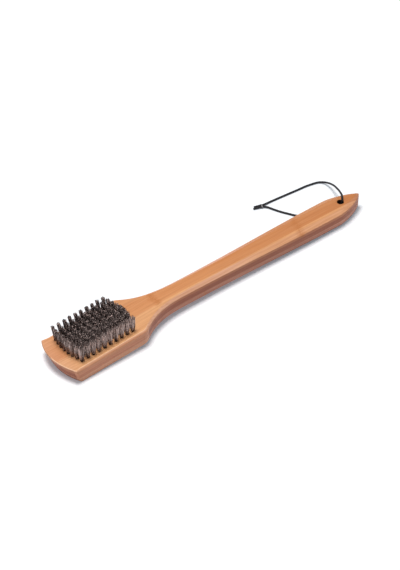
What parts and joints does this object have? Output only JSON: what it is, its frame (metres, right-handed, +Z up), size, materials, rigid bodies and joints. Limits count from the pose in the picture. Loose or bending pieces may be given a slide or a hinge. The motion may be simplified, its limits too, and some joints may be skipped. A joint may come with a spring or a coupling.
{
  "type": "grill brush",
  "caption": "Long-handled bamboo grill brush lying bristles up, with a rectangular head of steel wire tufts, a tapering bevelled handle and a cord loop through its tail.",
  "frame": {"origin": "The middle of the brush's footprint without its cord, on the surface that it lies on.", "axes": "+X runs along the brush from the head to the tail, +Y across it to the side that the cord lies on, +Z up, the way the bristles point."},
  "size_m": [0.457, 0.11, 0.0467],
  "materials": {
    "face_bamboo": "oiled",
    "core_bamboo": "oiled",
    "back_bamboo": "oiled",
    "steel_wire": "drawn wire",
    "cord_black": "waxed",
    "crimp_metal": "satin"
  },
  "bodies": {
    "root": {"face_ply": "face_bamboo", "core_ply": "core_bamboo", "back_ply": "back_bamboo", "bristle_row_1": "steel_wire", "bristle_row_2": "steel_wire", "bristle_row_3": "steel_wire", "bristle_row_4": "steel_wire", "bristle_row_5": "steel_wire", "bristle_row_6": "steel_wire", "bristle_row_7": "steel_wire", "bristle_row_8": "steel_wire", "cord_upper_strand": "cord_black", "cord_lower_strand": "cord_black", "crimp": "crimp_metal"}
  },
  "joints": []
}
